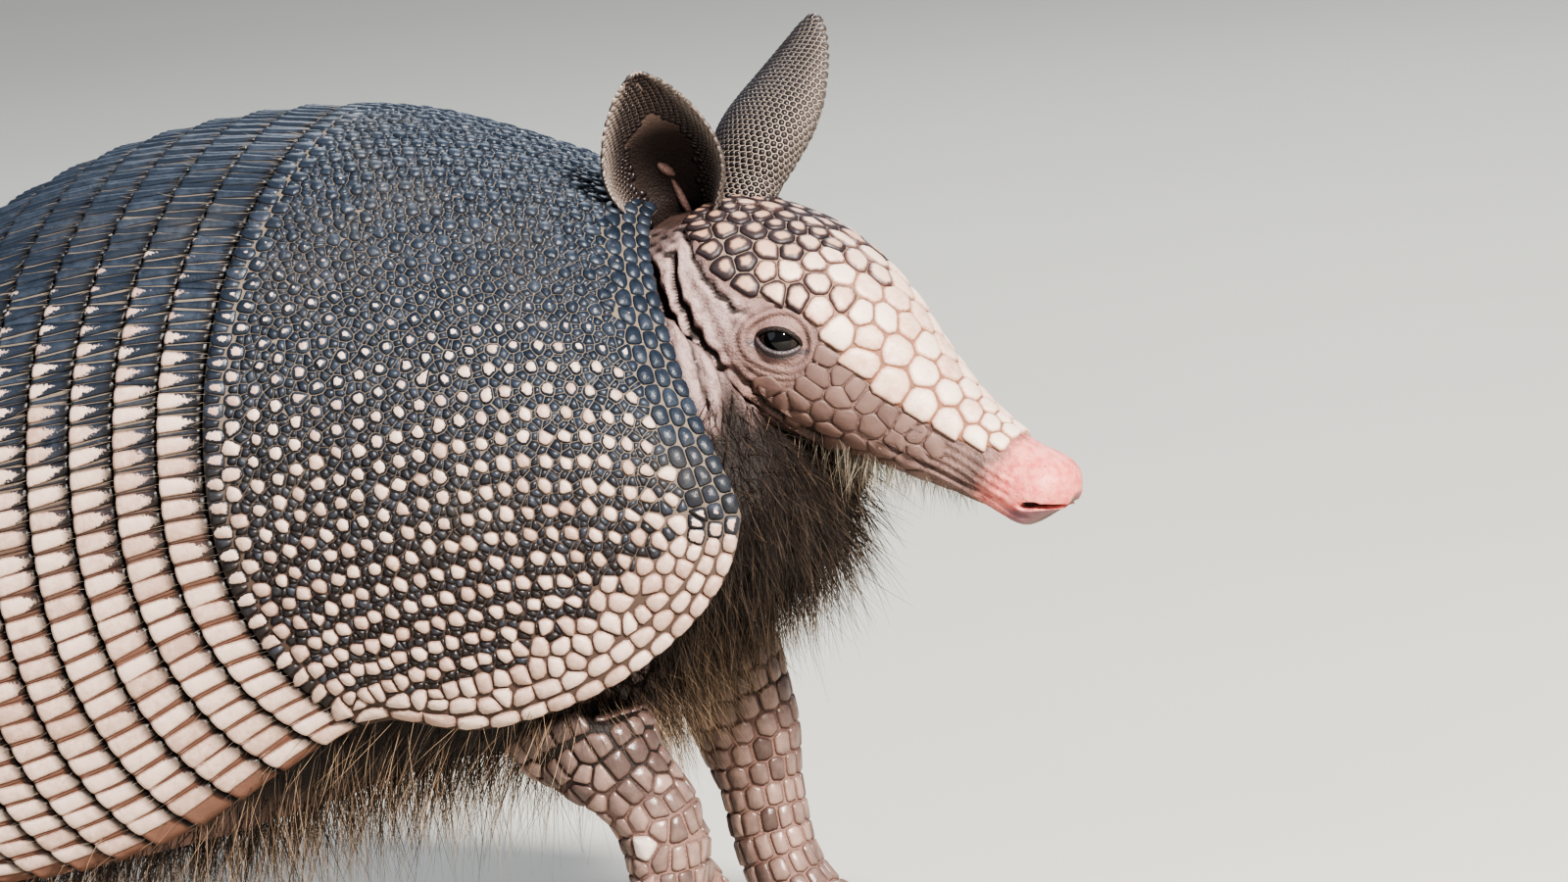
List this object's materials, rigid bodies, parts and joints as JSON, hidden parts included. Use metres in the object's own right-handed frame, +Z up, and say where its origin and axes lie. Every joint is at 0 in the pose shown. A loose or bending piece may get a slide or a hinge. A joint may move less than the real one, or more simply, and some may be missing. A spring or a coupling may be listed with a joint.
{
  "type": "armadillo figure",
  "caption": "Life-size nine-banded armadillo standing on four feet, head turned slightly aside, with jointed shell, upright ears and a long ringed tail laid on the floor.",
  "frame": {"origin": "on the floor, at the centre of the footprint of the whole animal's bounding box", "axes": "+X towards the animal's head, +Y towards its left side, +Z up"},
  "size_m": [0.7094, 0.1564, 0.2091],
  "materials": {
    "shell": "dark horny scutes with cream tubercles, low sheen",
    "head_scales": "cream horny plates, satin",
    "skin": "wrinkled bare skin, matte",
    "ear": "finely scaled skin, matte",
    "limb": "scaled skin, satin",
    "belly": "dark skin under coarse hair, matte",
    "nose": "bare moist skin, satin",
    "eye": "glossy, near black",
    "claw": "translucent horn, polished",
    "tail": "ringed horny scutes, low sheen"
  },
  "bodies": {
    "root": {"shoulder_shield": "shell", "band_1": "shell", "band_2": "shell", "band_3": "shell", "band_4": "shell", "band_5": "shell", "band_6": "shell", "band_7": "shell", "band_8": "shell", "band_9": "shell", "pelvic_shield": "shell", "nose": "nose", "jaw": "skin", "head": "skin", "head_shield": "head_scales", "eye_right": "eye", "eye_left": "eye", "trunk": "belly", "neck": "skin", "ear_right": "ear", "ear_left": "ear", "foreleg_right": "limb", "foreleg_left": "limb", "hindleg_right": "limb", "hindleg_left": "limb", "forefoot_right": "limb", "claw_forefoot_right_1": "claw", "claw_forefoot_right_2": "claw", "claw_forefoot_right_3": "claw", "claw_forefoot_right_4": "claw", "forefoot_left": "limb", "claw_forefoot_left_1": "claw", "claw_forefoot_left_2": "claw", "claw_forefoot_left_3": "claw", "claw_forefoot_left_4": "claw", "hindfoot_right": "limb", "claw_hindfoot_right_1": "claw", "claw_hindfoot_right_2": "claw", "claw_hindfoot_right_3": "claw", "claw_hindfoot_right_4": "claw", "claw_hindfoot_right_5": "claw", "hindfoot_left": "limb", "claw_hindfoot_left_1": "claw", "claw_hindfoot_left_2": "claw", "claw_hindfoot_left_3": "claw", "claw_hindfoot_left_4": "claw", "claw_hindfoot_left_5": "claw", "tail_root": "tail", "tail_middle": "tail", "tail_end": "tail", "tail_tip": "tail"}
  },
  "joints": []
}
